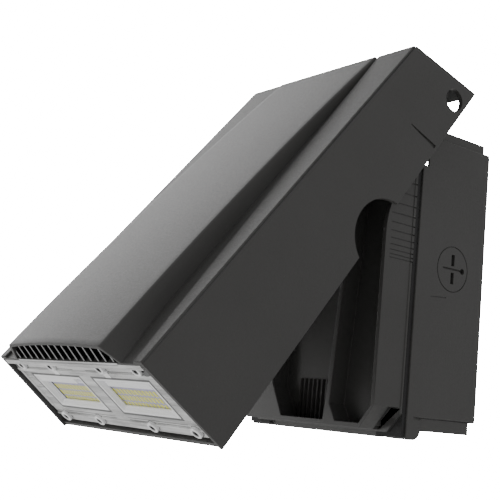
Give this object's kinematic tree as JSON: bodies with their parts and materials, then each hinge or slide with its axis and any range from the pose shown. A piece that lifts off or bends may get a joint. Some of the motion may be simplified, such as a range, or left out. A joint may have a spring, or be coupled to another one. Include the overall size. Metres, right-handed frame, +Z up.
{
  "type": "led area light",
  "caption": "Wall-mounted LED area light: a box with a driver cover and a long hooded head hinged at the top, which tilts its lens end out from the wall",
  "frame": {"origin": "middle of the wall fixing pattern, on the box's back face", "axes": "+X to the right seen from the front, +Y into the wall, +Z up"},
  "size_m": [0.1954, 0.3146, 0.2946],
  "materials": {
    "powder_coated_casting": "dark bronze powder coat on die-cast aluminium, fine satin grain",
    "screw_steel": "zinc plated",
    "black_rubber": "matte",
    "wall_foam": "closed cell foam",
    "driver_case": "satin",
    "terminal_plastic": "satin",
    "earth_green": "green plated",
    "sink_aluminium": "grey anodised",
    "board_white": "white solder mask",
    "led_phosphor": "pale yellow phosphor",
    "clear_lens": "clear moulded polycarbonate"
  },
  "bodies": {
    "wall_unit": {"back_box": "powder_coated_casting", "wall_gasket": "wall_foam", "conduit_plug_right": "powder_coated_casting", "conduit_plug_left": "powder_coated_casting", "plug_seals": "black_rubber", "hinge_bracket": "powder_coated_casting", "bracket_screws": "screw_steel", "hinge_bolts": "screw_steel", "hinge_nuts": "screw_steel", "friction_washers": "screw_steel", "shelf_grommet": "black_rubber", "led_driver": "driver_case", "driver_screws": "screw_steel", "terminal_block": "terminal_plastic", "ground_screw": "earth_green", "cover_gasket": "black_rubber", "driver_cover": "powder_coated_casting", "cover_screws": "screw_steel"},
    "head": {"head_frame": "powder_coated_casting", "hood": "powder_coated_casting", "hood_screws": "screw_steel", "heat_sink": "sink_aluminium", "heat_sink_screws": "screw_steel", "led_board_right": "board_white", "led_board_left": "board_white", "led_chips_right": "led_phosphor", "led_chips_left": "led_phosphor", "lens_cover": "clear_lens", "lens_gasket": "black_rubber", "lens_screws": "screw_steel", "head_grommet": "black_rubber"}
  },
  "joints": [
    {"name": "head_tilt", "type": "hinge", "parent": "wall_unit", "child": "head", "pos_m": [0, -0.0594, 0.1303], "axis": [-1, 0, 0], "range_deg": [-37.05, 52.95]}
  ]
}
